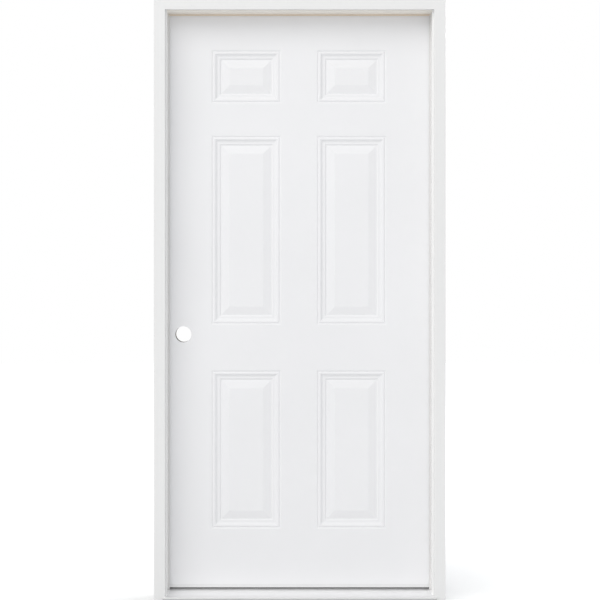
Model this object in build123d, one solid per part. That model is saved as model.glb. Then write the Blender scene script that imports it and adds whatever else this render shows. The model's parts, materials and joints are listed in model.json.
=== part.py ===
"""Prehung exterior door: an embossed six-panel steel leaf hung in its cased frame, ready to set in a wall.

Millimetres. +Z is up, -Y is the outside and +X is the hinge side, seen from outside.
The origin is on the floor, midway across the frame, in the plane where the casing lies on the wall.
"""

import os

from build123d import *

# Leaf: two steel skins over a wood edge and a foam core
leaf_width = 908.0
leaf_height = 1941.5
leaf_thickness = 44.5
floor_to_leaf = 41.3
skin_thickness = 0.6
skin_flange_depth = 9.0
stile_width = 28.6
rail_height = 32.0
lock_block_width = 89.0
lock_block_height = 254.0

# Embossed panels: to the outer edge of the moulding, from the leaf's bottom up, and off its middle line
panel_width = 236.0
mullion_width = 121.4
panel_shift = -1.5
bottom_margin = 188.0
bottom_panel_height = 537.0
lock_margin = 155.0
middle_panel_height = 641.0
upper_margin = 110.5
top_panel_height = 180.0

# Moulding of a panel: reach inwards from the panel's edge, and depth below the face
quirk_reach = 5.3
quirk_depth = 2.6
bead_reach = 11.2
bead_depth = 0.5
bead_end_reach = 15.5
bead_end_depth = 3.2
cove_reach = 19.0
cove_depth = 5.6
cove_end_reach = 27.0
cove_end_depth = 6.3
valley_reach = 32.5
valley_depth = 9.4
bevel_reach = 61.0
field_depth = 2.5

# Lock preparation: the cross bore, the edge bore with its face recess, and the strike
lock_backset = 60.3
lock_height = 847.3
lock_bore_radius = 27.0
latch_bore_radius = 12.7
latch_recess_width = 25.4
latch_recess_height = 57.2
latch_recess_depth = 3.0
strike_recess_width = 28.6
strike_recess_height = 69.8
strike_recess_depth = 2.0
strike_bore_radius = 12.0
recess_corner_radius = 6.4

# Frame: rabbeted wood jambs with a kerf for the seal
side_gap = 3.2
head_gap = 3.2
jamb_depth = 115.9
jamb_back = 19.0
stop_height = 12.7
seal_gap = 6.4
jamb_edge_radius = 1.5
kerf_width = 3.2
kerf_depth = 10.0
kerf_inset = 2.6

# Casing: flat boards, mitred at the head
casing_width = 38.0
casing_thickness = 19.0
casing_reveal = 4.8
casing_edge_radius = 2.0

# Seals: kerf-fixed bulbs round the opening, and a pad at each foot
seal_overhang = 4.8
seal_clearance = 0.3
seal_nose_radius = 2.6
barb_clearance = 0.2
pad_thickness = 1.0
pad_depth = 26.0
pad_height = 50.0

# Sill: an aluminium deck and a cap on a composite base
nose_overhang = 8.0
nose_height = 14.0
deck_rear_height = 24.2
deck_thickness = 2.2
nose_radius = 3.0
riser_setback = 6.0
cap_edge_radius = 1.5

# Sweep: a finned strip barbed into the bottom rail
sweep_drop = 10.7
sweep_clearance = 0.3
sweep_base_thickness = 2.0
sweep_face_setback = 0.5
sweep_end_inset = 1.5
sweep_barb_height = 8.0
sweep_barb_shares = (0.3, 0.7)
fin_thickness = 1.6
fin_count = 4

# Hinges: three loose-pin butts with round corners
hinge_height = 101.6
hinge_leaf_width = 50.8
hinge_leaf_thickness = 2.4
hinge_corner_radius = 15.9
hinge_pin_offset = 12.7
top_hinge_drop = 178.0
bottom_hinge_rise = 279.0
knuckle_radius = 5.6
knuckle_count = 5
knuckle_gap = 0.4
pin_radius = 3.1
pin_clearance = 0.1
pin_head_radius = 5.0
pin_head_height = 2.6
pin_head_edge_radius = 1.0

# Screws of the hinges: countersunk, in a zigzag on each hinge leaf
hinge_screw_head_radius = 4.3
hinge_screw_radius = 2.1
hinge_screw_tip = 4.0
leaf_screw_length = 25.0
jamb_screw_length = 17.5
hinge_screw_height_shares = (-0.36, -0.13, 0.13, 0.36)
outer_screw_row = 42.0
inner_screw_row = 28.0

# Screws and nails that hold the frame together
frame_screw_head_radius = 4.0
frame_screw_head_depth = 2.2
frame_screw_radius = 2.0
frame_screw_length = 45.0
frame_screw_tip = 4.0
sill_screw_height = 9.0
sill_screw_depth_shares = (0.25, 0.8)
head_screw_depth_shares = (0.2, 0.5, 0.8)
nail_radius = 0.9
nail_length = 45.0
nail_set = 2.0
nail_edge_distance = 13.0
leg_nail_height_shares = (0.08, 0.29, 0.5, 0.71, 0.92)
head_nail_width_shares = (-0.8, -0.27, 0.27, 0.8)

# How far a cutting shape runs past what it cuts
overrun = 5.0

# Lines of the leaf that its pieces share
leaf_edge = leaf_width / 2
leaf_front = jamb_depth - leaf_thickness
leaf_middle = jamb_depth - leaf_thickness / 2
leaf_bottom = floor_to_leaf
leaf_top = leaf_bottom + leaf_height
leaf_heights = (leaf_bottom, leaf_top)
core_depths = (leaf_front + skin_thickness, jamb_depth - skin_thickness)
core_heights = (leaf_bottom + rail_height, leaf_top - rail_height)
wood_edge = leaf_edge - skin_thickness
stile_edge = leaf_edge - stile_width
lock_x = lock_backset - leaf_edge
lock_z = leaf_bottom + lock_height

# Lines of the frame that its pieces share
rabbet_x = leaf_edge + side_gap
stop_x = rabbet_x - stop_height
jamb_x = rabbet_x + jamb_back
rabbet_z = leaf_top + head_gap
stop_z = rabbet_z - stop_height
frame_top = rabbet_z + jamb_back
stop_depth = leaf_front - seal_gap
casing_x = stop_x + casing_reveal
casing_z = stop_z + casing_reveal
kerf_near = stop_height - kerf_inset - kerf_width
kerf_far = stop_height - kerf_inset

# Lines of the sill
nose_y = -casing_thickness - nose_overhang
riser_y = leaf_front + riser_setback
cap_top = leaf_bottom - sweep_drop - sweep_clearance
deck_slope_share = (deck_rear_height - nose_height) / (riser_y - nose_y)
deck_rear_inside = deck_rear_height - deck_thickness
deck_nose_inside = nose_height - deck_thickness + deck_slope_share * deck_thickness

# Places of the hinges
hinge_x = leaf_edge + side_gap / 2
hinge_y = jamb_depth + hinge_pin_offset
hinge_leaf_edge = hinge_y - hinge_leaf_width
knuckle_pitch = hinge_height / knuckle_count
top_hinge_z = leaf_top - top_hinge_drop - hinge_height / 2
bottom_hinge_z = leaf_bottom + bottom_hinge_rise + hinge_height / 2
hinge_places = {
    "upper": top_hinge_z,
    "middle": (top_hinge_z + bottom_hinge_z) / 2,
    "lower": bottom_hinge_z,
}
on_jamb = 1
on_leaf = -1
quarter_turn = 90


def block(x, y, z):
    """A box between a low and a high limit along each axis."""
    sizes = [high - low for low, high in (x, y, z)]
    return Pos(x[0], y[0], z[0]) * Box(*sizes, align=(Align.MIN, Align.MIN, Align.MIN))


def both_ways(limit):
    """Limits that lie as far to the left as to the right."""
    return (-limit, limit)


def to_strike_side(shape):
    """The same piece on the other side of the opening."""
    return mirror(shape, about=Plane.YZ)


def to_inside_face(shape):
    """The same piece on the inside face of the leaf."""
    return mirror(shape, about=Plane(origin=(0, leaf_middle, 0), z_dir=(0, 1, 0)))


def outline(*points):
    """A flat face with straight sides."""
    return make_face(Polyline(*points, close=True))


def round_corner(face, point, radius):
    """The face with its corner at this point rounded."""
    return fillet(face.vertices().sort_by_distance(point)[0], radius)


def bar_across(face, limit):
    """A bar as long to the left as to the right, from an outline in Y and Z."""
    return extrude(Plane.YZ * face, limit, both=True)


def edge_recess(floor_x, centre_y, centre_z, width, height, depth):
    """A shallow pocket with round corners, cut from its floor along +X."""
    plane = Plane(origin=(floor_x, centre_y, centre_z), x_dir=(0, 1, 0), z_dir=(1, 0, 0))
    return extrude(plane * RectangleRounded(width, height, recess_corner_radius), depth)


def rod(start, direction, radius, length):
    """A round bar from a point along a direction."""
    face = Plane(origin=start, z_dir=direction) * Circle(radius)
    return extrude(face, length)


def countersunk_screw(head_radius, head_depth, radius, length, tip):
    """A wood screw with its head's face on the origin, driven along +X."""
    half = outline((0, 0), (0, head_radius), (head_depth, radius), (length - tip, radius), (length, 0))
    return revolve(half, Axis.X)


# Embossed panels


def moulding_section():
    """The hollow of a moulding: first inwards from the panel's edge, then down from the face."""
    quirk_end = (quirk_reach, quirk_depth)
    bead_end = (bead_end_reach, bead_end_depth)
    cove_end = (cove_end_reach, cove_end_depth)
    quirk = Line((0, 0), quirk_end)
    bead = ThreePointArc(quirk_end, (bead_reach, bead_depth), bead_end)
    cove = ThreePointArc(bead_end, (cove_reach, cove_depth), cove_end)
    rest = Polyline(
        cove_end,
        (valley_reach, valley_depth),
        (bevel_reach, field_depth),
        (bevel_reach, -overrun),
        (0, -overrun),
        (0, 0),
    )
    return make_face(quirk + bead + cove + rest)


def moulding_side(length):
    """One side of a moulding, mitred at both ends: inwards along X, down along Y, its run along Z."""
    bar = extrude(moulding_section(), length / 2, both=True)
    inner = length / 2 - bevel_reach
    keep = outline((0, -length / 2), (0, length / 2), (bevel_reach, inner), (bevel_reach, -inner))
    return bar & extrude(Plane.XZ * keep, valley_depth + overrun, both=True)


def panel_hollow(centre, low, height):
    """What one panel takes from the outside face: the moulding all round, and the field."""
    middle = Pos(centre, leaf_front, low + height / 2)
    spans = ((panel_width, height), (height, panel_width)) * 2
    hollow = block(
        both_ways(panel_width / 2 - bevel_reach),
        (-overrun, field_depth),
        both_ways(height / 2 - bevel_reach),
    )
    for turn, (span, length) in enumerate(spans):
        hollow += Rot(0, turn * quarter_turn, 0) * Pos(-span / 2, 0, 0) * moulding_side(length)
    return middle * hollow


def panel_hollows():
    """The six hollows of the outside face, two in each row."""
    centre = (mullion_width + panel_width) / 2
    bottom_low = leaf_bottom + bottom_margin
    middle_low = bottom_low + bottom_panel_height + lock_margin
    top_low = middle_low + middle_panel_height + upper_margin
    rows = (
        (bottom_low, bottom_panel_height),
        (middle_low, middle_panel_height),
        (top_low, top_panel_height),
    )
    return [
        panel_hollow(panel_shift + side, low, height) for low, height in rows for side in both_ways(centre)
    ]


# Hinges


def hinge_plate(centre, side):
    """One leaf of a hinge before its knuckles: flush with the gap, and running out to the pin."""
    low, high = centre - hinge_height / 2, centre + hinge_height / 2
    face = outline((hinge_leaf_edge, low), (hinge_leaf_edge, high), (hinge_y, high), (hinge_y, low))
    for corner in (low, high):
        face = round_corner(face, (hinge_leaf_edge, corner, 0), hinge_corner_radius)
    face_x = hinge_x + side * side_gap / 2
    return extrude(Plane.YZ.offset(face_x) * face, side * hinge_leaf_thickness)


def hinge_mortise(centre, side):
    """The seat that a hinge leaf needs, open to the gap and to the inside of the room."""
    seat = hinge_plate(centre, side)
    return seat + Pos(-side * hinge_leaf_thickness, 0, 0) * seat


def knuckles(centre, own, radius, gap):
    """The knuckles with an odd or even place along the pin, with a gap at each end of each."""
    low = centre - hinge_height / 2
    places = range(own, knuckle_count, 2)
    up = (0, 0, 1)
    return [
        rod((hinge_x, hinge_y, low + place * knuckle_pitch + gap / 2), up, radius, knuckle_pitch - gap)
        for place in places
    ]


def hinge_leaf(centre, side, screws):
    """One finished leaf of a hinge; the jamb carries the first, third and last knuckles."""
    own = 0 if side == on_jamb else 1
    low = centre - hinge_height / 2
    pin_hole = rod((hinge_x, hinge_y, low - overrun), (0, 0, 1), pin_radius + pin_clearance,
                   hinge_height + 2 * overrun)
    room = knuckles(centre, 1 - own, knuckle_radius + knuckle_gap, -knuckle_gap)
    plate = hinge_plate(centre, side) - room
    return plate + knuckles(centre, own, knuckle_radius, knuckle_gap) - [pin_hole] - screws


def hinge_pin(centre):
    """A loose pin with a flat button head, resting on the top knuckle."""
    low = centre - hinge_height / 2
    top = low + hinge_height
    shaft = rod((hinge_x, hinge_y, low), (0, 0, 1), pin_radius, top - low)
    head = rod((hinge_x, hinge_y, top), (0, 0, 1), pin_head_radius, pin_head_height)
    head = fillet(head.edges().group_by(Axis.Z)[-1], pin_head_edge_radius)
    return shaft + head


def hinge_screws(side, length):
    """The screws of all three leaves on one side, as separate solids."""
    screw = countersunk_screw(
        hinge_screw_head_radius, hinge_leaf_thickness, hinge_screw_radius, length, hinge_screw_tip
    )
    if side == on_leaf:
        screw = mirror(screw, about=Plane.YZ)
    face_x = hinge_x + side * side_gap / 2
    last = len(hinge_screw_height_shares) - 1
    screws = []
    for centre in hinge_places.values():
        for place, share in enumerate(hinge_screw_height_shares):
            row = outer_screw_row if place in (0, last) else inner_screw_row
            screws.append(Pos(face_x, hinge_y - row, centre + share * hinge_height) * screw)
    return screws


# Frame


def sill_envelope():
    """The whole section of the sill, which the jambs and the casing are notched over."""
    face = outline(
        (nose_y, 0),
        (jamb_depth, 0),
        (jamb_depth, cap_top),
        (riser_y, cap_top),
        (riser_y, deck_rear_height),
        (nose_y, nose_height),
    )
    return bar_across(face, rabbet_x)


def sill_pieces():
    """The deck, the base under it and the cap behind it."""
    nose_inside = (nose_y + deck_thickness, deck_nose_inside)
    rear_inside = (riser_y, deck_rear_inside)
    deck = outline(
        (nose_y, 0),
        (nose_y, nose_height),
        (riser_y, deck_rear_height),
        rear_inside,
        nose_inside,
        (nose_y + deck_thickness, 0),
    )
    deck = round_corner(deck, (nose_y, nose_height, 0), nose_radius)
    base = outline(
        (nose_y + deck_thickness, 0),
        nose_inside,
        rear_inside,
        (jamb_depth, deck_rear_inside),
        (jamb_depth, 0),
    )
    cap = outline(
        rear_inside, (riser_y, cap_top), (jamb_depth, cap_top), (jamb_depth, deck_rear_inside)
    )
    cap = round_corner(cap, (jamb_depth, cap_top, 0), cap_edge_radius)
    return [bar_across(face, rabbet_x) for face in (deck, base, cap)]


def head_kerf():
    """The slot for the head seal, cut across the head and the tops of the side stops."""
    return block(
        both_ways(rabbet_x),
        (stop_depth - kerf_depth, stop_depth + overrun),
        (stop_z + kerf_near, stop_z + kerf_far),
    )


def side_jamb(sill):
    """A side jamb at the hinge side: its back, its stop, its kerf and its notch over the sill."""
    face = outline(
        (stop_x, 0), (jamb_x, 0), (jamb_x, jamb_depth), (rabbet_x, jamb_depth),
        (rabbet_x, stop_depth), (stop_x, stop_depth),
    )
    face = round_corner(face, (stop_x, 0, 0), jamb_edge_radius)
    face = round_corner(face, (rabbet_x, jamb_depth, 0), jamb_edge_radius)
    back = extrude(face, frame_top)
    kerf = block(
        (stop_x + kerf_near, stop_x + kerf_far),
        (stop_depth - kerf_depth, stop_depth + overrun),
        (0, rabbet_z),
    )
    head_room = block((stop_x - overrun, rabbet_x), (-overrun, jamb_depth + overrun),
                      (rabbet_z, frame_top + overrun))
    return back - [kerf, head_room, head_kerf(), sill]


def head_jamb():
    """The head jamb: its back runs between the side backs, and its stop between the side stops."""
    back = outline((0, rabbet_z), (0, frame_top), (jamb_depth, frame_top), (jamb_depth, rabbet_z))
    back = round_corner(back, (jamb_depth, rabbet_z, 0), jamb_edge_radius)
    stop = outline((0, stop_z), (0, rabbet_z), (stop_depth, rabbet_z), (stop_depth, stop_z))
    stop = round_corner(stop, (0, stop_z, 0), jamb_edge_radius)
    return bar_across(back, rabbet_x) + bar_across(stop, stop_x) - head_kerf()


def mitre(corner_x, corner_z):
    """The plane of a corner joint: what lies above it is the head's, on the hinge side."""
    return Plane(origin=(corner_x, 0, corner_z), z_dir=(-1, 0, 1))


def mitred_set(leg, head, corner_x, corner_z):
    """Two legs and a head, cut to meet at their corners: hinge side, strike side, head."""
    cut = mitre(corner_x, corner_z)
    leg = split(leg, bisect_by=cut, keep=Keep.BOTTOM)
    head = split(head, bisect_by=cut, keep=Keep.TOP)
    head = to_strike_side(split(to_strike_side(head), bisect_by=cut, keep=Keep.TOP))
    return leg, to_strike_side(leg), head


def casing_boards(sill):
    """Flat casing with eased front edges, set back from the jamb's face by the reveal."""
    across = (casing_x, casing_x + casing_width)
    up = (casing_z, casing_z + casing_width)
    front = -casing_thickness
    leg = outline((across[0], front), (across[1], front), (across[1], 0), (across[0], 0))
    head = outline((front, up[0]), (front, up[1]), (0, up[1]), (0, up[0]))
    for x in across:
        leg = round_corner(leg, (x, front, 0), casing_edge_radius)
    for z in up:
        head = round_corner(head, (front, z, 0), casing_edge_radius)
    leg = extrude(leg, casing_z + casing_width) - sill
    return mitred_set(leg, bar_across(head, casing_x + casing_width), casing_x, casing_z)


def seal_section():
    """A seal's outline: across, from the stop's face towards the rabbet; up, its depth in the frame."""
    bulb_face = leaf_front - seal_clearance
    bulb = outline(
        (-seal_overhang, stop_depth),
        (stop_height, stop_depth),
        (stop_height, bulb_face),
        (-seal_overhang, bulb_face),
    )
    for depth in (stop_depth, bulb_face):
        bulb = round_corner(bulb, (-seal_overhang, depth, 0), seal_nose_radius)
    near, far = kerf_near + barb_clearance, kerf_far - barb_clearance
    root = stop_depth - kerf_depth + barb_clearance
    return bulb + outline((near, root), (far, root), (far, stop_depth), (near, stop_depth))


def seals():
    """The seals of the two sides and the head, mitred where they meet."""
    leg = extrude(Pos(stop_x, 0, deck_rear_height) * seal_section(), rabbet_z - deck_rear_height)
    upright = Plane(origin=(0, 0, stop_z), x_dir=(0, 0, 1), z_dir=(1, 0, 0))
    head = extrude(upright * mirror(seal_section(), about=Plane.XZ), rabbet_x, both=True)
    return mitred_set(leg, head, rabbet_x, rabbet_z)


def corner_pad():
    """A thin foam pad at the foot of a side jamb, beside the bottom corner of the leaf."""
    return block(
        (rabbet_x - pad_thickness, rabbet_x),
        (leaf_front, leaf_front + pad_depth),
        (cap_top, cap_top + pad_height),
    )


def frame_screws(depth_shares, height):
    """Screws through both side jambs, at these shares of the jamb's depth."""
    screw = countersunk_screw(
        frame_screw_head_radius, frame_screw_head_depth, frame_screw_radius,
        frame_screw_length, frame_screw_tip,
    )
    inwards = mirror(screw, about=Plane.YZ)
    hinge_side = [Pos(jamb_x, share * jamb_depth, height) * inwards for share in depth_shares]
    return hinge_side + [to_strike_side(one) for one in hinge_side]


def casing_nails():
    """Set nails through the casing into the edges of the jambs."""
    front = nail_set - casing_thickness
    leg_x = casing_x + nail_edge_distance
    head_z = casing_z + nail_edge_distance
    places = [(x, share * casing_z) for x in both_ways(leg_x) for share in leg_nail_height_shares]
    places += [(share * casing_x, head_z) for share in head_nail_width_shares]
    return [rod((x, front, z), (0, 1, 0), nail_radius, nail_length) for x, z in places]


# Leaf


def skins(lock_bore, mortises):
    """The outside and inside skins, and the hollow between them."""
    deep = block(both_ways(leaf_edge), (leaf_front, leaf_middle), leaf_heights) - panel_hollows()
    behind = Pos(0, skin_thickness, 0) * deep
    flange = block(
        (leaf_edge - skin_thickness, leaf_edge),
        (leaf_front, leaf_front + skin_flange_depth),
        leaf_heights,
    )
    skin = (deep - behind) + [flange, to_strike_side(flange)]
    outside = skin - [lock_bore, *mortises]
    inside = to_inside_face(skin) - [lock_bore, *mortises]
    front_half = behind & block(both_ways(stile_edge), (leaf_front, leaf_middle), core_heights)
    return outside, inside, front_half + to_inside_face(front_half)


def sweep_barbs(clearance):
    """The two ribs that hold the sweep in the bottom rail, or the slots for them."""
    reach = fin_thickness / 2 + clearance
    middles = [leaf_front + share * leaf_thickness for share in sweep_barb_shares]
    top = leaf_bottom + sweep_barb_height + clearance
    return [
        block(both_ways(stile_edge), (y - reach, y + reach), (leaf_bottom, top)) for y in middles
    ]


def door_sweep():
    """A strip under the leaf with fins that ride just clear of the sill cap."""
    half = leaf_edge - sweep_end_inset
    front, rear = leaf_front + sweep_face_setback, jamb_depth - sweep_face_setback
    base = block(both_ways(half), (front, rear), (leaf_bottom - sweep_base_thickness, leaf_bottom))
    pitch = (rear - front - fin_thickness) / (fin_count - 1)
    fins = [
        block(
            both_ways(half),
            (front + place * pitch, front + place * pitch + fin_thickness),
            (leaf_bottom - sweep_drop, leaf_bottom),
        )
        for place in range(fin_count)
    ]
    return base + fins + sweep_barbs(0)


def build():
    """Every piece of the door, by name."""
    leaf_screws = hinge_screws(on_leaf, leaf_screw_length)
    jamb_screws = hinge_screws(on_jamb, jamb_screw_length)
    leaf_mortises = [hinge_mortise(z, on_leaf) for z in hinge_places.values()]
    jamb_mortises = [hinge_mortise(z, on_jamb) for z in hinge_places.values()]
    sill_screws = frame_screws(sill_screw_depth_shares, sill_screw_height)
    head_screws = frame_screws(head_screw_depth_shares, frame_top - jamb_back / 2)
    nails = casing_nails()

    lock_bore = rod((lock_x, leaf_front - overrun, lock_z), (0, 1, 0), lock_bore_radius,
                    leaf_thickness + 2 * overrun)
    latch_bore = rod((-leaf_edge - overrun, leaf_middle, lock_z), (1, 0, 0), latch_bore_radius,
                     lock_backset + overrun)
    latch_recess = edge_recess(-leaf_edge - overrun, leaf_middle, lock_z, latch_recess_width,
                               latch_recess_height, overrun + latch_recess_depth)
    strike_recess = edge_recess(-rabbet_x - strike_recess_depth, leaf_middle, lock_z,
                                strike_recess_width, strike_recess_height,
                                strike_recess_depth + overrun)
    strike_bore = rod((-jamb_x - overrun, leaf_middle, lock_z), (1, 0, 0), strike_bore_radius,
                      jamb_back + 2 * overrun)

    sill = sill_envelope()
    deck, base, cap = sill_pieces()
    jamb = side_jamb(sill)
    hinge_casing, strike_casing, head_casing = casing_boards(sill)
    hinge_seal, strike_seal, head_seal = seals()
    outside_skin, inside_skin, core = skins(lock_bore, leaf_mortises)
    stile = block((stile_edge, wood_edge), core_depths, leaf_heights)
    rail_top = block(both_ways(stile_edge), core_depths, (core_heights[1], leaf_top))
    rail_bottom = block(both_ways(stile_edge), core_depths, (leaf_bottom, core_heights[0]))
    lock_block = block(
        (-stile_edge, lock_block_width - stile_edge),
        core_depths,
        (lock_z - lock_block_height / 2, lock_z + lock_block_height / 2),
    )

    pieces = {
        "hinge_jamb": jamb - jamb_mortises - jamb_screws - sill_screws - head_screws - nails,
        "strike_jamb": to_strike_side(jamb) - [strike_recess, strike_bore]
        - sill_screws - head_screws - nails,
        "head_jamb": head_jamb() - head_screws - nails,
        "hinge_casing": hinge_casing - nails,
        "strike_casing": strike_casing - nails,
        "head_casing": head_casing - nails,
        "sill_deck": deck,
        "sill_base": base - sill_screws,
        "sill_cap": cap,
        "hinge_seal": hinge_seal,
        "strike_seal": strike_seal,
        "head_seal": head_seal,
        "hinge_corner_pad": corner_pad(),
        "strike_corner_pad": to_strike_side(corner_pad()),
        "outside_skin": outside_skin,
        "inside_skin": inside_skin,
        "hinge_stile": stile - leaf_mortises - leaf_screws,
        "lock_stile": to_strike_side(stile) - [latch_bore, latch_recess],
        "top_rail": rail_top,
        "bottom_rail": rail_bottom - sweep_barbs(barb_clearance),
        "lock_block": lock_block - [lock_bore, latch_bore],
        "foam_core": core - lock_block,
        "door_sweep": door_sweep(),
        "jamb_hinge_screws": Compound(children=jamb_screws),
        "leaf_hinge_screws": Compound(children=leaf_screws),
        "sill_screws": Compound(children=sill_screws),
        "head_screws": Compound(children=head_screws),
        "casing_nails": Compound(children=nails),
    }
    for name, centre in hinge_places.items():
        pieces[f"{name}_jamb_hinge_leaf"] = hinge_leaf(centre, on_jamb, jamb_screws)
        pieces[f"{name}_door_hinge_leaf"] = hinge_leaf(centre, on_leaf, leaf_screws)
        pieces[f"{name}_hinge_pin"] = hinge_pin(centre)
    return pieces


os.makedirs("parts", exist_ok=True)
for node, shape in build().items():
    shape.label = node
    export_step(shape, f"parts/{node}.step")
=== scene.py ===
"""Looks of the prehung door: stamped skins, screws, materials, light, floor and camera.

Metres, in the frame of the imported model: +Z is up, -Y is the outside and +X is the hinge side.
"""

import json
import math
from typing import NamedTuple

import bmesh
import bpy
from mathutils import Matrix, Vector


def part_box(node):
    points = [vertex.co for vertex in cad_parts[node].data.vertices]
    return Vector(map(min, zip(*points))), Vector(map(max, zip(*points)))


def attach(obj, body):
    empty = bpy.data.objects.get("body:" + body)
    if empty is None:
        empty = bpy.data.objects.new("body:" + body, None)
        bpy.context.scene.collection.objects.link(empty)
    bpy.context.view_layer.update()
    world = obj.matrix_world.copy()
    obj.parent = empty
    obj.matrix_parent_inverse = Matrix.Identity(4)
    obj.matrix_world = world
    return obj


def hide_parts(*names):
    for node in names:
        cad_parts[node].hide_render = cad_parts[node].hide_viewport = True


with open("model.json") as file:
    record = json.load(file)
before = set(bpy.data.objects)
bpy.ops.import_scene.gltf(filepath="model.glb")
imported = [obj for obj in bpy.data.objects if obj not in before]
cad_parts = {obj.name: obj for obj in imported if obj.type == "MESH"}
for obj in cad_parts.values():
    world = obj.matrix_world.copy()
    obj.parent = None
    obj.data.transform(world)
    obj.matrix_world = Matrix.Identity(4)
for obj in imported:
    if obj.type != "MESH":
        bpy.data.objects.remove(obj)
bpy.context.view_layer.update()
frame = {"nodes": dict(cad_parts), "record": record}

# Camera: the photograph is a square, and the axis of its lens meets it off the middle
photo_pixels = 600
axis_pixel_x = 283.5
axis_pixel_y = 265.0
pixels_per_metre = 299.38
camera_distance = 5.729
camera_x = -0.054
camera_z = 1.1238
sensor_mm = 36.0

# Floor: to the eye it glows a little, and more away from the door, so that it stays white
floor_radius = 14.0
floor_segments = 96
floor_drop = 0.0004
floor_colour = (0.86, 0.86, 0.86)
floor_roughness = 0.9
floor_specular = 0.0
floor_glow_near = 0.10
floor_glow_far = 0.50
glow_middle = (0, -0.6, 0)
glow_near_radius = 0.7
glow_far_radius = 2.4

# Light: an even surround, a large key lamp at the upper left and a fill lamp behind the hinge side
ambient_strength = 0.65
ambient_colour = (0.97, 0.985, 1.0)
backdrop_strength = 1.0
backdrop_colour = (1.0, 1.0, 1.0)
key_place = (-4.3, -7.8, 8.3)
key_width = 10.4
key_height = 7.0
key_power = 612.0
key_colour = (1.0, 0.985, 0.96)
fill_place = (4.8, 4.6, 4.0)
fill_width = 3.0
fill_height = 3.0
fill_power = 165.0
fill_colour = (0.97, 0.985, 1.0)
aim_share = 0.55

# Panels of the leaf, measured to the outer edge of the moulding, from the bottom of the leaf upwards
panel_width = 0.236
mullion_width = 0.1214
panel_shift = -0.0015
bottom_margin = 0.188
bottom_panel_height = 0.537
lock_margin = 0.155
middle_panel_height = 0.641
upper_margin = 0.1105
top_panel_height = 0.180

# Moulding of a panel: reach inwards from the panel's edge, and depth below the face
quirk_end = (0.0050, 0.0030)
bead_crown = (0.0110, 0.0002)
bead_end = (0.0155, 0.0032)
cove_middle = (0.0190, 0.0056)
cove_end = (0.0270, 0.0063)
valley = (0.0325, 0.0098)
bevel_end = (0.0610, 0.0022)
stamp_radius = 0.0006
stamp_samples = 9
ring_count = 100

# Sheet of a skin
sheet_thickness = 0.0006
flange_depth = 0.0090
bend_radius = 0.0012
bend_steps = 5
bore_radius = 0.027
bore_segments = 96
hinge_plate_thickness = 0.0024
hinge_corner_inset = 0.007

# Screws and nail fillings
screw_segments = 16
thread_pitch = 0.0019
thread_depth_share = 0.26
thread_steps = 6
ridge_middle_share = 0.5
ridge_half_share = 0.25
tip_share = 0.16
head_edge_share = 0.91
rim_drop_share = 0.12
recess_arms = 4
recess_reach_share = 0.56
recess_width_share = 0.17
recess_floor_share = 0.45
recess_depth_share = 0.62
filling_radius = 0.0016
filling_rise = 0.00008
filling_segments = 24
filling_rings = 5

# Painted shade: the sill's nose is painted darker towards the floor, the head jamb's underside is painted
# a warm shade, and the wall of the lock bore is painted near black
nose_shade_top_height = 0.0170
nose_full_shade_height = 0.0092
head_board_thickness = 0.0190
underside_shade_fade = 0.0015
bore_shade_reach = 0.0015
across_bore = (1, 0, 1)

# Colours
steel_colour = (0.845, 0.8455, 0.860)
# The casings and the jambs share one primer; the jambs are painted lighter than the casings as painted
# light in the recess, the upright ones most
casing_colour = (0.815, 0.815, 0.815)
upright_jamb_lightened_colour = (0.905, 0.905, 0.900)
level_jamb_lightened_colour = (0.880, 0.880, 0.875)
# A warm painted shade for the head jamb's underside
underside_shade_colour = (0.880, 0.845, 0.785)
early_wood_colour = (0.66, 0.47, 0.28)
late_wood_colour = (0.43, 0.25, 0.11)
# Near black painted shade for the wall of the lock bore
bore_shade_colour = (0.085, 0.070, 0.055)
sill_metal_colour = (0.98, 0.98, 0.99)
# Painted shade for the sill's nose near the floor
nose_shade_colour = (0.50, 0.495, 0.50)
seal_colour = (0.74, 0.735, 0.73)
# The head seal is tinted tan as painted warm shade under the head; the other seals are grey
head_seal_warm_shade_colour = (0.74, 0.62, 0.50)
foam_colour = (0.82, 0.72, 0.47)
vinyl_colour = (0.79, 0.795, 0.80)
# The composite is made dark as painted shade for the gap under the sweep, where the cap's front shows
composite_gap_shade_colour = (0.290, 0.288, 0.292)
nickel_colour = (0.44, 0.425, 0.395)
zinc_colour = (0.50, 0.50, 0.48)

# Grain of the materials: cycles of noise in a metre along X, Y and Z
cloud_cycles = (2.3, 2.3, 2.3)
gloss_cycles = (35, 35, 35)
peel_cycles = (420, 420, 420)
upright_brush_cycles = (260, 260, 1.4)
level_brush_cycles = (1.4, 260, 260)
upright_wood_cycles = (130, 130, 3)
level_wood_cycles = (3, 130, 130)
drawn_cycles = (1.5, 900, 900)
brushed_plate_cycles = (25, 900, 900)
even_plate_cycles = (700, 700, 700)
film_cycles = (500, 500, 500)
foam_cycles = (650, 650, 650)
vinyl_cycles = (300, 300, 300)
composite_cycles = (420, 420, 420)

# Tones over a grain: places between its low and its high end, each with a share of the colour
cloud_tone_shares = ((0.3, 0.988), (0.7, 1.010))
brush_tone_shares = ((0.25, 0.974), (0.75, 1.010))
drawn_tone_shares = ((0.3, 0.97), (0.7, 1.02))
plate_tone_shares = ((0.3, 0.90), (0.7, 1.06))
speckle_dark_place = 0.32
speckle_pale_place = 0.68
late_wood_place = 0.30
middle_wood_place = 0.46
early_wood_place = 0.72
middle_wood_share = 0.9

# Gloss and relief: roughness follows the middle span of a grain, and relief heights are in metres
grain_span = (0.3, 0.7)
plain_specular = 0.5
speckle_gloss_spread = 0.06
plate_gloss_rise = 0.06
plate_gloss_fall = 0.08
fine_relief_height = 0.0005
wood_relief_height = 0.0006
drawn_relief_height = 0.0003
plate_relief_height = 0.0002

# Angle over which an edge of a solid is drawn sharp, and tolerances for making and reading meshes
crease_angle = math.radians(28)
merge_digits = 6
weld_distance = 0.00001
round_share = 0.97

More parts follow.
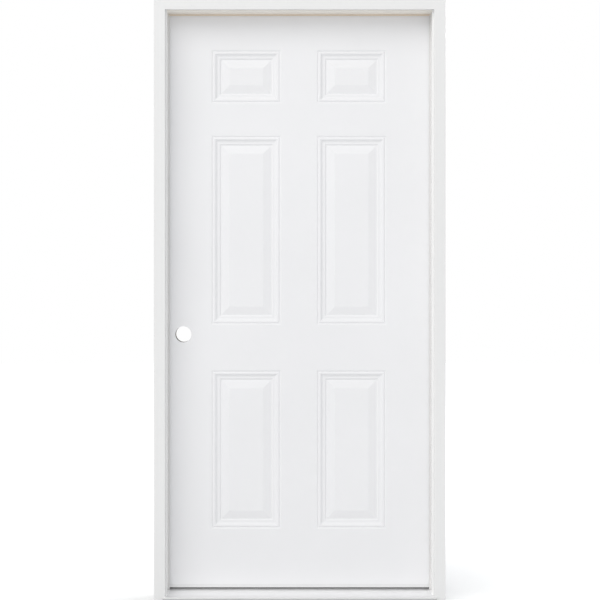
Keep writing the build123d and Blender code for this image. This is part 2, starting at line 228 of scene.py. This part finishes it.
# Shared lines of the leaf and the frame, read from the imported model
skin_low, skin_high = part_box("outside_skin")
inside_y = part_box("inside_skin")[1].y
outside_y = skin_low.y
leaf_edge = skin_high.x
leaf_bottom = skin_low.z
leaf_top = skin_high.z
casing_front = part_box("hinge_casing")[0].y
head_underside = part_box("head_jamb")[1].z - head_board_thickness
hinge_names = ("upper", "middle", "lower")
lock_mount = next(one for one in frame["record"]["mounts"] if one["name"] == "lock_bore")
lock_x, _, lock_z = lock_mount["pos_m"]


# Shader nodes


class Grain(NamedTuple):
    """A noise over a surface: its cycles in a metre along each axis, and its character."""

    cycles: tuple
    detail: float = 3.0
    roughness: float = 0.55
    distortion: float = 0.0


def new_material(name):
    """An empty principled material: the material, its tree and its shader."""
    material = bpy.data.materials.new(name)
    material.use_nodes = True
    tree = material.node_tree
    return material, tree, tree.nodes["Principled BSDF"]


def add_node(tree, kind, inputs=(), **settings):
    """A node with its settings, and with its inputs set or linked by name or place."""
    node = tree.nodes.new(kind)
    for key, value in settings.items():
        setattr(node, key, value)
    for key, value in dict(inputs).items():
        if isinstance(value, bpy.types.NodeSocket):
            tree.links.new(value, node.inputs[key])
        else:
            node.inputs[key].default_value = value
    return node


def opaque(colour):
    """A colour as a socket takes it."""
    return (*colour, 1.0)


def shade(colour, share):
    """A colour made lighter or darker."""
    return tuple(min(1.0, part * share) for part in colour)


def toned(colour, tone_shares):
    """The stops of a ramp that vary one colour."""
    return [(place, shade(colour, share)) for place, share in tone_shares]


def object_place(tree):
    """Object coordinates."""
    return add_node(tree, "ShaderNodeTexCoord").outputs["Object"]


def scaled_place(tree, scale):
    """Object coordinates, scaled along each axis."""
    mapping = add_node(tree, "ShaderNodeMapping", {"Vector": object_place(tree), "Scale": scale})
    return mapping.outputs["Vector"]


def height_above_floor(tree):
    """The height of a place."""
    return add_node(tree, "ShaderNodeSeparateXYZ", {0: object_place(tree)}).outputs["Z"]


def distance_between(tree, place, point):
    """How far a place is from a point."""
    node = add_node(tree, "ShaderNodeVectorMath", {0: place, 1: point}, operation="DISTANCE")
    return node.outputs["Value"]


def noise(tree, grain):
    """The value of a grain, from 0 to 1."""
    node = add_node(tree, "ShaderNodeTexNoise", {
        "Vector": scaled_place(tree, grain.cycles),
        "Scale": 1.0,
        "Detail": grain.detail,
        "Roughness": grain.roughness,
        "Distortion": grain.distortion,
    })
    return node.outputs["Fac"]


def spread(tree, value, start, end, low=0.0, high=1.0):
    """A value's span from start to end, spread between two numbers and held beyond them."""
    node = add_node(tree, "ShaderNodeMapRange", {
        "Value": value, "From Min": start, "From Max": end, "To Min": low, "To Max": high,
    })
    return node.outputs["Result"]


def ramp(tree, value, stops):
    """A colour for a value, through a few stops."""
    node = add_node(tree, "ShaderNodeValToRGB", {"Fac": value})
    elements = node.color_ramp.elements
    while len(elements) < len(stops):
        elements.new(1.0)
    for element, (place, colour) in zip(elements, stops):
        element.position = place
        element.color = opaque(colour)
    return node.outputs["Color"]


def fading(tree, value, start, end, near, far):
    """One colour up to a value's start, another from its end on, and a fade between them."""
    node = add_node(tree, "ShaderNodeMix", {
        "Factor": spread(tree, value, start, end), "A": near, "B": far,
    }, data_type="RGBA")
    return node.outputs["Result"]


# Materials


def finish(name, grain, stops, roughness, relief_share, relief_height, specular=plain_specular,
           metallic=0.0, gloss_grain=None, relief_grain=None, painted_shade=None):
    """A material whose colour, gloss and relief follow its grain, or grains of their own, with any painted
    shade laid over its colour.
    """
    material, tree, shader = new_material(name)
    tone = noise(tree, grain)
    gloss = noise(tree, gloss_grain) if gloss_grain else tone
    height = noise(tree, relief_grain) if relief_grain else tone
    colour = ramp(tree, tone, stops)
    if painted_shade:
        colour = painted_shade(tree, tone, colour)
    bump = add_node(tree, "ShaderNodeBump", {
        "Height": height, "Strength": relief_share, "Distance": relief_height,
    })
    tree.links.new(colour, shader.inputs["Base Color"])
    tree.links.new(spread(tree, gloss, *grain_span, *roughness), shader.inputs["Roughness"])
    tree.links.new(bump.outputs["Normal"], shader.inputs["Normal"])
    shader.inputs["Specular IOR Level"].default_value = specular
    shader.inputs["Metallic"].default_value = metallic
    return material


def painted_shade_below(tree, tone, paint):
    """Paint given a warm painted shade where the head jamb faces down."""
    shaded_paint = ramp(tree, tone, toned(underside_shade_colour, brush_tone_shares))
    white_height = head_underside + underside_shade_fade
    return fading(tree, height_above_floor(tree), head_underside, white_height, shaded_paint, paint)


def painted_shade_in_bore(tree, _, wood):
    """Wood painted near black as painted shade on the wall of the lock bore."""
    reach = distance_between(tree, scaled_place(tree, across_bore), (lock_x, 0, lock_z))
    return fading(tree, reach, bore_radius, bore_radius + bore_shade_reach, opaque(bore_shade_colour), wood)


def painted_shade_at_foot(tree, _, metal):
    """Metal painted darker down the nose of the sill, as painted shade towards the floor."""
    shaded_metal = opaque(nose_shade_colour)
    return fading(tree, height_above_floor(tree), nose_full_shade_height, nose_shade_top_height, shaded_metal, metal)


def painted_steel():
    """Factory white on steel sheet: a faint orange peel and a slightly uneven gloss."""
    return finish(
        "painted_steel",
        grain=Grain(cloud_cycles, detail=2.0),
        stops=toned(steel_colour, cloud_tone_shares),
        roughness=(0.40, 0.50),
        relief_share=0.05,
        relief_height=fine_relief_height,
        specular=0.35,
        gloss_grain=Grain(gloss_cycles),
        relief_grain=Grain(peel_cycles, detail=2.0),
    )


def painted_wood(name, colour, cycles, painted_shade=None):
    """White paint on pine, with brush lines along the board."""
    return finish(
        name,
        grain=Grain(cycles, detail=4.0, distortion=0.1),
        stops=toned(colour, brush_tone_shares),
        roughness=(0.19, 0.27),
        relief_share=0.04,
        relief_height=fine_relief_height,
        painted_shade=painted_shade,
    )


def bare_pine(name, cycles):
    """Planed pine: growth lines and darker late wood."""
    return finish(
        name,
        grain=Grain(cycles, detail=6.0, roughness=0.62, distortion=0.7),
        stops=(
            (late_wood_place, late_wood_colour),
            (middle_wood_place, shade(early_wood_colour, middle_wood_share)),
            (early_wood_place, early_wood_colour),
        ),
        roughness=(0.72, 0.58),
        relief_share=0.25,
        relief_height=wood_relief_height,
        specular=0.25,
        # The wall of the lock bore is painted near black as painted shade
        painted_shade=painted_shade_in_bore,
    )


def mill_aluminium():
    """Extruded aluminium: fine drawing lines along the sill and a soft gloss."""
    return finish(
        "mill_aluminium",
        grain=Grain(drawn_cycles),
        stops=toned(sill_metal_colour, drawn_tone_shares),
        roughness=(0.40, 0.52),
        relief_share=0.12,
        relief_height=drawn_relief_height,
        metallic=0.75,
        # The sill's nose is painted darker towards the floor as painted shade
        painted_shade=painted_shade_at_foot,
    )


def speckled(name, colour, cycles, dark_share, roughness, relief_share, specular):
    """A moulded or foamed material: fine speckle in its colour, gloss and surface."""
    return finish(
        name,
        grain=Grain(cycles, detail=4.0, roughness=0.65),
        stops=((speckle_dark_place, shade(colour, dark_share)), (speckle_pale_place, colour)),
        roughness=(roughness + speckle_gloss_spread, roughness - speckle_gloss_spread),
        relief_share=relief_share,
        relief_height=fine_relief_height,
        specular=specular,
    )


def plated_steel(name, colour, cycles, roughness):
    """Satin plate: fine lines or grains that catch the light unevenly."""
    return finish(
        name,
        grain=Grain(cycles, detail=4.0),
        stops=toned(colour, plate_tone_shares),
        roughness=(roughness - plate_gloss_rise, roughness + plate_gloss_fall),
        relief_share=0.10,
        relief_height=plate_relief_height,
        metallic=1.0,
    )


film_look = {
    "cycles": film_cycles, "dark_share": 0.92,
    "roughness": 0.55, "relief_share": 0.10, "specular": 0.3,
}
foam_look = {
    "cycles": foam_cycles, "dark_share": 0.80,
    "roughness": 0.85, "relief_share": 0.50, "specular": 0.1,
}
vinyl_look = {
    "cycles": vinyl_cycles, "dark_share": 0.95,
    "roughness": 0.50, "relief_share": 0.05, "specular": 0.4,
}
composite_look = {
    "cycles": composite_cycles, "dark_share": 0.80,
    "roughness": 0.68, "relief_share": 0.30, "specular": 0.25,
}
steel_paint = painted_steel()
upright_casing = painted_wood("casing_paint_upright", casing_colour, upright_brush_cycles)
level_casing = painted_wood("casing_paint_level", casing_colour, level_brush_cycles)
# The jambs' primer is painted lighter than the casings' as painted light
upright_jamb = painted_wood("jamb_paint_upright", upright_jamb_lightened_colour, upright_brush_cycles)
# The head jamb's underside is painted a warm shade
level_jamb = painted_wood("jamb_paint_level", level_jamb_lightened_colour, level_brush_cycles, painted_shade_below)
upright_pine = bare_pine("bare_pine_upright", upright_wood_cycles)
level_pine = bare_pine("bare_pine_level", level_wood_cycles)
seal_film = speckled("seal_film", seal_colour, **film_look)
# The head seal's tan tint is painted warm shade
head_shade_film = speckled("head_seal_film", head_seal_warm_shade_colour, **film_look)
core_foam = speckled("core_foam", foam_colour, **foam_look)
vinyl = speckled("sweep_vinyl", vinyl_colour, **vinyl_look)
composite = speckled("composite", composite_gap_shade_colour, **composite_look)
nickel = plated_steel("satin_nickel", nickel_colour, brushed_plate_cycles, roughness=0.34)
zinc = plated_steel("zinc_plate", zinc_colour, even_plate_cycles, roughness=0.30)

node_materials = {
    "hinge_jamb": upright_jamb,
    "strike_jamb": upright_jamb,
    "head_jamb": level_jamb,
    "hinge_casing": upright_casing,
    "strike_casing": upright_casing,
    "head_casing": level_casing,
    "sill_deck": mill_aluminium(),
    # The sill's composite is dark as painted shade for the gap under the sweep
    "sill_base": composite,
    "sill_cap": composite,
    "hinge_seal": seal_film,
    "strike_seal": seal_film,
    "head_seal": head_shade_film,
    "hinge_corner_pad": seal_film,
    "strike_corner_pad": seal_film,
    "outside_skin": steel_paint,
    "inside_skin": steel_paint,
    "hinge_stile": upright_pine,
    "lock_stile": upright_pine,
    "lock_block": upright_pine,
    "top_rail": level_pine,
    "bottom_rail": level_pine,
    "foam_core": core_foam,
    "door_sweep": vinyl,
    "jamb_hinge_screws": nickel,
    "leaf_hinge_screws": nickel,
    "sill_screws": zinc,
    "head_screws": zinc,
    "casing_nails": zinc,
}
for place in hinge_names:
    for piece in ("jamb_hinge_leaf", "door_hinge_leaf", "hinge_pin"):
        node_materials[f"{place}_{piece}"] = nickel

for name, node in frame["nodes"].items():
    node.data.materials.clear()
    node.data.materials.append(node_materials[name])
    node.data.polygons.foreach_set("material_index", [0] * len(node.data.polygons))
    node.data.shade_smooth()
    node.data.set_sharp_from_angle(angle=crease_angle)


# Steps that the meshes share


def spaced(first, last, count):
    """Numbers from the first to the last, evenly spaced."""
    return [first + (last - first) * one / (count - 1) for one in range(count)]


def around(count):
    """Angles evenly spaced round a circle."""
    return [2 * math.pi * one / count for one in range(count)]


def rectangle(left, right, low, high):
    """The corners of an upright rectangle."""
    return (left, low), (right, low), (right, high), (left, high)


def bridge(mesh, first, second):
    """Faces between two rings of the same count."""
    for one in range(len(first)):
        other = (one + 1) % len(first)
        mesh.faces.new((first[one], first[other], second[other], second[one]))


def fill_between(mesh, outline, hole):
    """Triangles between an outline and the hole in it."""
    edges = []
    for loop in (outline, hole):
        for ends in zip(loop, loop[1:] + loop[:1]):
            edges.append(mesh.edges.get(ends) or mesh.edges.new(ends))
    bmesh.ops.triangle_fill(mesh, use_beauty=True, use_dissolve=False, edges=edges)


def data_from(name, mesh):
    """Mesh data from a finished mesh."""
    data = bpy.data.meshes.new(name)
    mesh.to_mesh(data)
    mesh.free()
    return data


def add_object(name, data):
    """An object of some data, put in the scene."""
    thing = bpy.data.objects.new(name, data)
    bpy.context.scene.collection.objects.link(thing)
    return thing


def piece_from(name, mesh, material, body, slot, *nodes):
    """A finished piece from a mesh: its material, its body and the nodes it stands for. Its slot is not
    used.
    """
    data = data_from(name, mesh)
    data.shade_smooth()
    data.materials.append(material)
    piece = add_object(name, data)
    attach(piece, body)
    if nodes:
        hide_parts(*nodes)
    return piece


# Stamped skins


def through_three(first, middle, last):
    """The centre and radius of the circle through three points."""
    (ax, ay), (bx, by), (cx, cy) = first, middle, last
    turn = 2 * (ax * (by - cy) + bx * (cy - ay) + cx * (ay - by))
    squares = [x * x + y * y for x, y in (first, middle, last)]
    x = (squares[0] * (by - cy) + squares[1] * (cy - ay) + squares[2] * (ay - by)) / turn
    y = (squares[0] * (cx - bx) + squares[1] * (ax - cx) + squares[2] * (bx - ax)) / turn
    return x, y, math.hypot(ax - x, ay - y)


def on_line(reach, first, last):
    """The depth of a straight stretch at a reach."""
    share = (reach - first[0]) / (last[0] - first[0])
    return first[1] + share * (last[1] - first[1])


def on_arc(reach, circle, side):
    """The depth of a round stretch at a reach, on the deeper (1) or shallower (-1) side of its circle."""
    x, y, radius = circle
    return y + side * math.sqrt(radius * radius - (reach - x) ** 2)


bead_circle = through_three(quirk_end, bead_crown, bead_end)
cove_circle = through_three(bead_end, cove_middle, cove_end)


def drawn_depth(reach):
    """The moulding's depth at a reach, with sharp creases."""
    if reach <= 0:
        return 0.0
    if reach <= quirk_end[0]:
        return on_line(reach, (0.0, 0.0), quirk_end)
    if reach <= bead_end[0]:
        return on_arc(reach, bead_circle, -1)
    if reach <= cove_end[0]:
        return on_arc(reach, cove_circle, 1)
    if reach <= valley[0]:
        return on_line(reach, cove_end, valley)
    if reach <= bevel_end[0]:
        return on_line(reach, valley, bevel_end)
    return bevel_end[1]


def stamped_depth(reach):
    """The same depth with each crease eased, as a press leaves it in sheet."""
    near = [reach + share * stamp_radius for share in spaced(-1, 1, stamp_samples)]
    return sum(drawn_depth(one) for one in near) / stamp_samples


ring_reaches = spaced(-stamp_radius, bevel_end[0] + stamp_radius, ring_count)
moulding = [(reach, stamped_depth(reach)) for reach in ring_reaches]


def panel_rows():
    """The low and high end of each row of panels."""
    low = leaf_bottom
    rows = []
    for margin, height in (
        (bottom_margin, bottom_panel_height),
        (lock_margin, middle_panel_height),
        (upper_margin, top_panel_height),
    ):
        rows.append((low + margin, low + margin + height))
        low += margin + height
    return rows


def panel_columns():
    """The left and right end of each column of panels."""
    inner = mullion_width / 2
    outer = inner + panel_width
    return [(panel_shift - outer, panel_shift - inner), (panel_shift + inner, panel_shift + outer)]


class Sheet:
    """One skin as it grows: its mesh, and where its face lies."""

    def __init__(self, face_y, inwards):
        self.mesh = bmesh.new()
        self.face_y = face_y
        self.inwards = inwards
        self.known = {}

    def point(self, x, z, depth=0.0):
        """The vertex at a place, made once."""
        key = tuple(round(part, merge_digits) for part in (x, z, depth))
        if key not in self.known:
            self.known[key] = self.mesh.verts.new((x, self.face_y + self.inwards * depth, z))
        return self.known[key]

    def patch(self, *points):
        """A face through these vertices."""
        self.mesh.faces.new(points)


def add_panel(sheet, column, row):
    """The rings of one panel from its edge to its field, with mitred corners."""
    (left, right), (low, high) = column, row
    rings = []
    for reach, depth in moulding:
        corners = rectangle(left + reach, right - reach, low + reach, high - reach)
        rings.append([sheet.point(x, z, depth) for x, z in corners])
    for outer, inner in zip(rings, rings[1:]):
        bridge(sheet.mesh, outer, inner)
        for mitre in zip(outer, inner):
            sheet.mesh.edges.get(mitre).smooth = False
    sheet.patch(*rings[-1])


def add_bored_cell(sheet, corners):
    """The flat cell of the lock margin, with the round hole in it."""
    circle = [
        sheet.point(lock_x + bore_radius * math.cos(angle), lock_z + bore_radius * math.sin(angle))
        for angle in around(bore_segments)
    ]
    fill_between(sheet.mesh, corners, circle)


def add_flange(sheet, side, heights, hinges, hinge_depth):
    """The bent edge of the sheet on one side, cut back where a hinge leaf lies."""
    inner = leaf_edge - bend_radius
    turns = spaced(0.0, math.pi / 2, bend_steps + 1)
    section = [(inner + bend_radius * math.sin(a), bend_radius * (1 - math.cos(a))) for a in turns]
    section += [(leaf_edge, depth) for depth in sorted({hinge_depth, flange_depth}) if depth > bend_radius]
    for low, high in zip(heights, heights[1:]):
        at_hinge = any(start <= (low + high) / 2 <= end for start, end in hinges)
        reach = hinge_depth if at_hinge else flange_depth
        for (x, depth), (next_x, next_depth) in zip(section, section[1:]):
            if next_depth > reach:
                break
            sheet.patch(sheet.point(side * x, low, depth), sheet.point(side * x, high, depth),
                        sheet.point(side * next_x, high, next_depth),
                        sheet.point(side * next_x, low, next_depth))


def add_margin(sheet, heights, hinge_heights, hinges, notch):
    """The flat strip on the hinge side, with a notch where a hinge leaf lies in the face."""
    left = panel_columns()[1][1] + stamp_radius
    right = leaf_edge - bend_radius
    edge = []
    for z in hinge_heights:
        starts = any(abs(z - low) < stamp_radius for low, _ in hinges)
        ends = any(abs(z - high) < stamp_radius for _, high in hinges)
        corner = sheet.point(right, z)
        notched = sheet.point(leaf_edge - notch, z)
        if not notch or not (starts or ends):
            edge.append(corner)
        else:
            edge += [corner, notched] if starts else [notched, corner]
    sheet.patch(*edge, *[sheet.point(left, z) for z in reversed(heights)])


def stamped_skin(name, node, face_y, inwards, corner_inset, notch):
    """A skin of pressed sheet with six panels, a bore and bent edges, in place of a node."""
    sheet = Sheet(face_y, inwards)
    columns = [(left - stamp_radius, right + stamp_radius) for left, right in panel_columns()]
    rows = [(low - stamp_radius, high + stamp_radius) for low, high in panel_rows()]
    lines = [-leaf_edge + bend_radius, *[x for column in columns for x in column]]
    heights = [leaf_bottom, *[z for row in rows for z in row], leaf_top]
    for left, right in zip(lines, lines[1:]):
        for low, high in zip(heights, heights[1:]):
            if (left, right) in columns and (low, high) in rows:
                continue
            corners = [sheet.point(x, z) for x, z in rectangle(left, right, low, high)]
            if left < lock_x < right and low < lock_z < high:
                add_bored_cell(sheet, corners)
            else:
                sheet.patch(*corners)
    for column in panel_columns():
        for row in panel_rows():
            add_panel(sheet, column, row)

    boxes = [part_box(f"{place}_door_hinge_leaf") for place in hinge_names]
    hinges = [(low.z + corner_inset, high.z - corner_inset) for low, high in boxes]
    hinge_heights = sorted([leaf_bottom, leaf_top, *[z for span in hinges for z in span]])
    hinge_depth = 0.0 if notch else boxes[0][0].y - face_y
    add_margin(sheet, heights, hinge_heights, hinges, notch)
    add_flange(sheet, 1, hinge_heights, hinges, hinge_depth)
    add_flange(sheet, -1, heights, (), hinge_depth)

    bmesh.ops.recalc_face_normals(sheet.mesh, faces=sheet.mesh.faces)
    widest = max(sheet.mesh.faces, key=lambda face: face.calc_area())
    if widest.normal.y * inwards > 0:
        bmesh.ops.reverse_faces(sheet.mesh, faces=sheet.mesh.faces)
    skin = piece_from(name, sheet.mesh, steel_paint, "door", "painted_steel", node)
    solid = skin.modifiers.new("sheet", "SOLIDIFY")
    solid.thickness = sheet_thickness
    solid.offset = -1
    solid.use_even_offset = True
    even = skin.modifiers.new("even_light", "WEIGHTED_NORMAL")
    even.keep_sharp = True


stamped_skin("outside_face", "outside_skin", outside_y, 1, hinge_corner_inset, 0.0)
stamped_skin("inside_face", "inside_skin", inside_y, -1, 0.0, hinge_plate_thickness)


# Screws and nail fillings


def solids_of(node):
    """The separate solids of a node, each as the places of its vertices."""
    mesh = bmesh.new()
    mesh.from_mesh(frame["nodes"][node].data)
    bmesh.ops.remove_doubles(mesh, verts=mesh.verts, dist=weld_distance)
    seen = set()
    solids = []
    for start in mesh.verts:
        if start in seen:
            continue
        seen.add(start)
        found = [start]
        for vertex in found:
            near = [edge.other_vert(vertex) for edge in vertex.link_edges]
            fresh = [one for one in near if one not in seen]
            seen.update(fresh)
            found += fresh
        solids.append([vertex.co.copy() for vertex in found])
    mesh.free()
    return solids


def middle_of(places):
    """The mean of some places."""
    return sum(places, Vector()) / len(places)


def measure_screw(places):
    """A screw along X: the middle of its head, its direction, and its radii and lengths."""
    low = min(place.x for place in places)
    high = max(place.x for place in places)
    middle = middle_of(places)
    spans = [(place.x, math.hypot(place.y - middle.y, place.z - middle.z)) for place in places]
    head_radius = max(radius for _, radius in spans)
    head_x = next(x for x, radius in spans if radius == head_radius)
    direction = 1 if head_x - low < high - head_x else -1
    shank = [(abs(x - head_x), radius) for x, radius in spans if abs(x - head_x) > weld_distance]
    radius = max(one for _, one in shank)
    head_depth = min(depth for depth, one in shank if one > radius * round_share)
    return Vector((head_x, middle.y, middle.z)), direction, head_radius, head_depth, radius, high - low


def ring_of(mesh, head, direction, depth, radii):
    """A ring of vertices round a screw's axis, one for each radius given."""
    x = head.x + direction * depth
    return [
        mesh.verts.new((x, head.y + radius * math.cos(angle), head.z + radius * math.sin(angle)))
        for radius, angle in zip(radii, around(len(radii)))
    ]


def cross_ring(mesh, head, direction, depth, reach, width):
    """The outline of a cross recess at a depth."""
    corners = []
    for turn in around(recess_arms):
        for along, across in ((width, -width), (reach, -width), (reach, width)):
            corners.append((along * math.cos(turn) - across * math.sin(turn),
                            along * math.sin(turn) + across * math.cos(turn)))
    return [mesh.verts.new((head.x + direction * depth, head.y + y, head.z + z)) for y, z in corners]


def thread_radii(radius, depth, fade):
    """The radii round a threaded shank at a depth: one ridge that climbs once a turn."""
    radii = []
    for one in range(screw_segments):
        phase = (depth / thread_pitch - one / screw_segments) % 1
        ridge = max(0.0, 1 - abs(phase - ridge_middle_share) / ridge_half_share)
        radii.append(radius * fade * (1 - thread_depth_share * (1 - ridge)))
    return radii


def add_screw(mesh, places):
    """A countersunk screw with a cross recess and a thread, where a plain one stands."""
    head, direction, head_radius, head_depth, radius, length = measure_screw(places)
    rim = ring_of(mesh, head, direction, head_radius * rim_drop_share, [head_radius] * screw_segments)
    face = ring_of(mesh, head, direction, 0.0, [head_radius * head_edge_share] * screw_segments)
    reach = head_radius * recess_reach_share
    width = head_radius * recess_width_share
    floor_depth = head_depth * recess_depth_share
    top = cross_ring(mesh, head, direction, 0.0, reach, width)
    bottom = cross_ring(mesh, head, direction, floor_depth, reach * recess_floor_share, width)
    fill_between(mesh, face, top)
    bridge(mesh, rim, face)
    bridge(mesh, top, bottom)
    mesh.faces.new(bottom)

    tip_start = length * (1 - tip_share)
    levels = int((length - head_depth) / thread_pitch * thread_steps)
    last = rim
    for one in range(levels):
        depth = head_depth + (length - head_depth) * one / levels
        fade = min(1.0, (length - depth) / (length - tip_start))
        ring = ring_of(mesh, head, direction, depth, thread_radii(radius, depth, fade))
        bridge(mesh, last, ring)
        last = ring
    mesh.faces.new(last)


def screw_group(name, node, material, body):
    """All the screws of a node as one piece that stands for it."""
    mesh = bmesh.new()
    for places in solids_of(node):
        add_screw(mesh, places)
    bmesh.ops.recalc_face_normals(mesh, faces=mesh.faces)
    piece = piece_from(name, mesh, material, body, "screw_steel", node)
    piece.data.set_sharp_from_angle(angle=crease_angle)


def nail_fillings():
    """A low smear of painted filler over each set nail in the casing."""
    mesh = bmesh.new()
    for places in solids_of("casing_nails"):
        middle = middle_of(places)
        rings = []
        for one in range(filling_rings):
            share = 1 - one / filling_rings
            reach = share * filling_radius
            y = casing_front - filling_rise * (1 - share * share)
            rings.append([
                mesh.verts.new((middle.x + reach * math.cos(angle), y, middle.z + reach * math.sin(angle)))
                for angle in around(filling_segments)
            ])
        for outer, inner in zip(rings, rings[1:]):
            bridge(mesh, outer, inner)
        mesh.faces.new(rings[0])
        mesh.faces.new(rings[-1])
    bmesh.ops.recalc_face_normals(mesh, faces=mesh.faces)
    piece_from("nail_fillings", mesh, upright_casing, "frame", "primed_wood")


screw_group("jamb_screws", "jamb_hinge_screws", nickel, "frame")
screw_group("leaf_screws", "leaf_hinge_screws", nickel, "door")
screw_group("sill_fixings", "sill_screws", zinc, "frame")
screw_group("head_fixings", "head_screws", zinc, "frame")
nail_fillings()


# Floor, light and camera


def seen_rays(tree):
    """1 for what the camera sees directly, in a gloss or through glass, and 0 for other light."""
    path = add_node(tree, "ShaderNodeLightPath")
    value = path.outputs["Is Camera Ray"]
    for kind in ("Is Glossy Ray", "Is Transmission Ray"):
        value = add_node(tree, "ShaderNodeMath", {0: value, 1: path.outputs[kind]},
                         operation="MAXIMUM").outputs[0]
    return value


def floor_material():
    """Pale and matt, with a glow that only the eye sees."""
    material, tree, shader = new_material("floor")
    shader.inputs["Base Color"].default_value = opaque(floor_colour)
    shader.inputs["Roughness"].default_value = floor_roughness
    shader.inputs["Specular IOR Level"].default_value = floor_specular
    reach = distance_between(tree, object_place(tree), glow_middle)
    rise = spread(tree, reach, glow_near_radius, glow_far_radius, floor_glow_near, floor_glow_far)
    glow = add_node(tree, "ShaderNodeMath", {0: seen_rays(tree), 1: rise}, operation="MULTIPLY")
    emission = add_node(tree, "ShaderNodeEmission", {"Strength": glow.outputs[0]})
    total = add_node(tree, "ShaderNodeAddShader", {0: shader.outputs[0], 1: emission.outputs[0]})
    tree.links.new(total.outputs[0], tree.nodes["Material Output"].inputs["Surface"])
    return material


def add_floor():
    """A wide pale disc under the door that stays white to the eye and keeps its shadow."""
    mesh = bmesh.new()
    bmesh.ops.create_circle(mesh, cap_ends=True, segments=floor_segments, radius=floor_radius)
    data = data_from("floor", mesh)
    data.materials.append(floor_material())
    floor = add_object("floor", data)
    floor.location.z = -floor_drop


def add_world():
    """White to the eye, and a soft even light for the object."""
    world = bpy.data.worlds.new("studio")
    bpy.context.scene.world = world
    world.use_nodes = True
    tree = world.node_tree
    tree.nodes.clear()
    light = add_node(tree, "ShaderNodeBackground",
                     {"Color": opaque(ambient_colour), "Strength": ambient_strength})
    white = add_node(tree, "ShaderNodeBackground",
                     {"Color": opaque(backdrop_colour), "Strength": backdrop_strength})
    choice = add_node(tree, "ShaderNodeMixShader",
                      {0: seen_rays(tree), 1: light.outputs[0], 2: white.outputs[0]})
    add_node(tree, "ShaderNodeOutputWorld", {"Surface": choice.outputs[0]})


def add_lamp(name, place, width, height, power, colour):
    """One large soft lamp, turned to the door and not seen itself."""
    data = bpy.data.lights.new(name, "AREA")
    data.shape = "RECTANGLE"
    data.size = width
    data.size_y = height
    data.energy = power
    data.color = colour
    lamp = add_object(name, data)
    lamp.location = place
    lamp.visible_camera = False
    aim = Vector((0, 0, leaf_top * aim_share))
    lamp.rotation_euler = (aim - lamp.location).to_track_quat("-Z", "Y").to_euler()


def add_camera():
    """The photograph's camera: level, square to the door, with the frame shifted off its axis."""
    data = bpy.data.cameras.new("camera")
    data.sensor_width = sensor_mm
    data.lens = pixels_per_metre * camera_distance * sensor_mm / photo_pixels
    data.shift_x = (photo_pixels / 2 - axis_pixel_x) / photo_pixels
    data.shift_y = (axis_pixel_y - photo_pixels / 2) / photo_pixels
    camera = add_object("camera", data)
    camera.location = (camera_x, casing_front - camera_distance, camera_z)
    camera.rotation_euler = (math.pi / 2, 0, 0)
    bpy.context.scene.camera = camera


add_floor()
add_world()
add_lamp("key", key_place, key_width, key_height, key_power, key_colour)
add_lamp("fill", fill_place, fill_width, fill_height, fill_power, fill_colour)
add_camera()
bpy.context.scene.view_settings.view_transform = "Standard"
